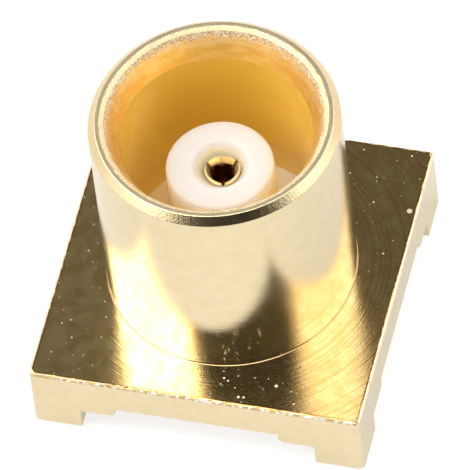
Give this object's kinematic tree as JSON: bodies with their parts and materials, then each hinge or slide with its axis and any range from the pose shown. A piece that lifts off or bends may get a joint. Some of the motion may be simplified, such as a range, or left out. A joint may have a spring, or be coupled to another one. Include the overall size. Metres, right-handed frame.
{
  "type": "coaxial connector jack",
  "caption": "Surface-mount coaxial jack: square flange on stepped corner feet, round barrel with a snap socket, plastic insulator and slotted socket contact.",
  "frame": {"origin": "centre of the footprint, on the plane of the feet's soles, where the board lies", "axes": "+Z out of the board along the barrel, towards its mouth; X and Y square to the flange's sides"},
  "size_m": [0.0064, 0.0064, 0.0061],
  "materials": {
    "shell_gold": "polished",
    "contact_gold": "polished",
    "ptfe": "satin"
  },
  "bodies": {
    "root": {"shell": "shell_gold", "insulator": "ptfe", "contact": "contact_gold"}
  },
  "joints": []
}
